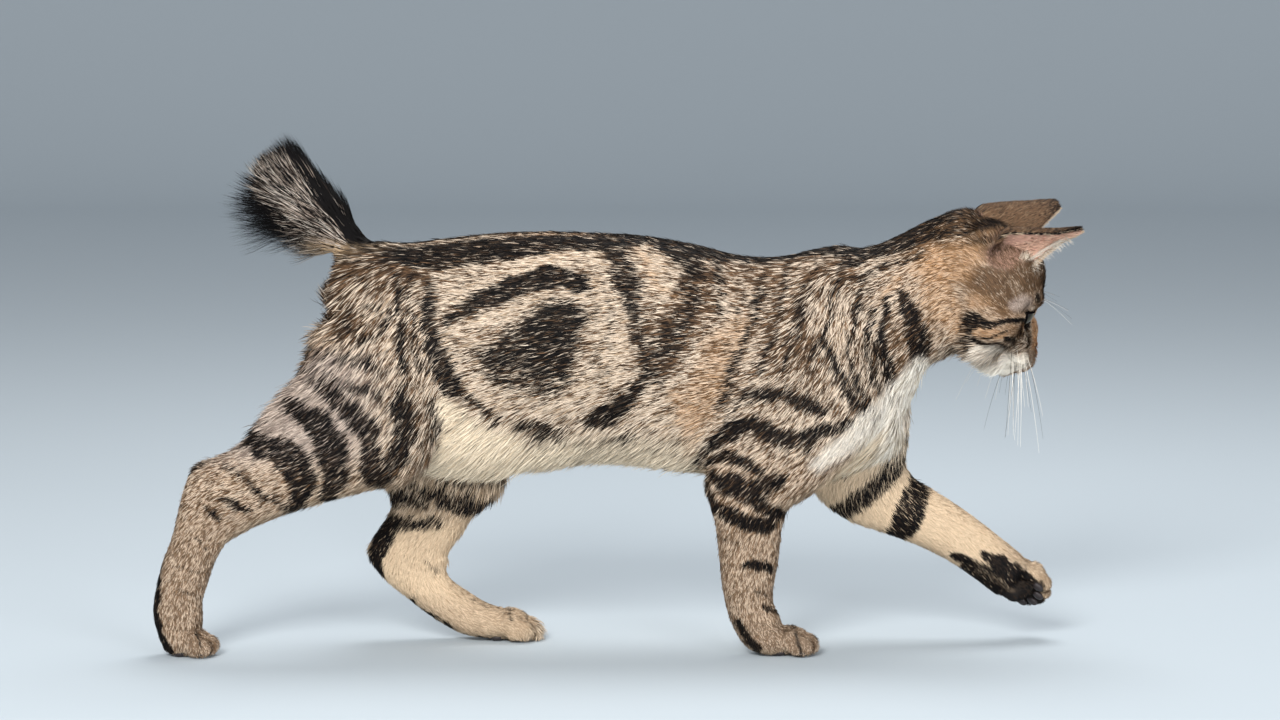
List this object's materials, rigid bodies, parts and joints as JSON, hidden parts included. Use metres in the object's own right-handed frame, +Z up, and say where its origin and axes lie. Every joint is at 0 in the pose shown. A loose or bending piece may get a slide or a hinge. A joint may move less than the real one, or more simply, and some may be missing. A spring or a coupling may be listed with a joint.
{
  "type": "kurilian bobtail cat",
  "caption": "Life-size walking bobtail cat with a classic tabby coat, head lowered and short pompom tail raised, one front paw lifted; a still display model.",
  "frame": {"origin": "middle of the bounding box's base, on the floor", "axes": "+X forward, the way the cat walks; +Y to the cat's left; +Z up"},
  "size_m": [0.5987, 0.1184, 0.3273],
  "materials": {
    "coat": "short dense tabby coat, matte",
    "ear": "thin skin with very short hair",
    "eye": "wet, glossy"
  },
  "bodies": {
    "root": {"ear_left": "ear", "ear_right": "ear", "eye_left": "eye", "eye_right": "eye", "forearm_left": "coat", "forearm_right": "coat", "front_paw_left": "coat", "front_paw_right": "coat", "head": "coat", "hind_foot_left": "coat", "hind_foot_right": "coat", "neck": "coat", "shank_left": "coat", "shank_right": "coat", "tail": "coat", "thigh_left": "coat", "thigh_right": "coat", "trunk": "coat", "upper_arm_left": "coat", "upper_arm_right": "coat"}
  },
  "joints": []
}
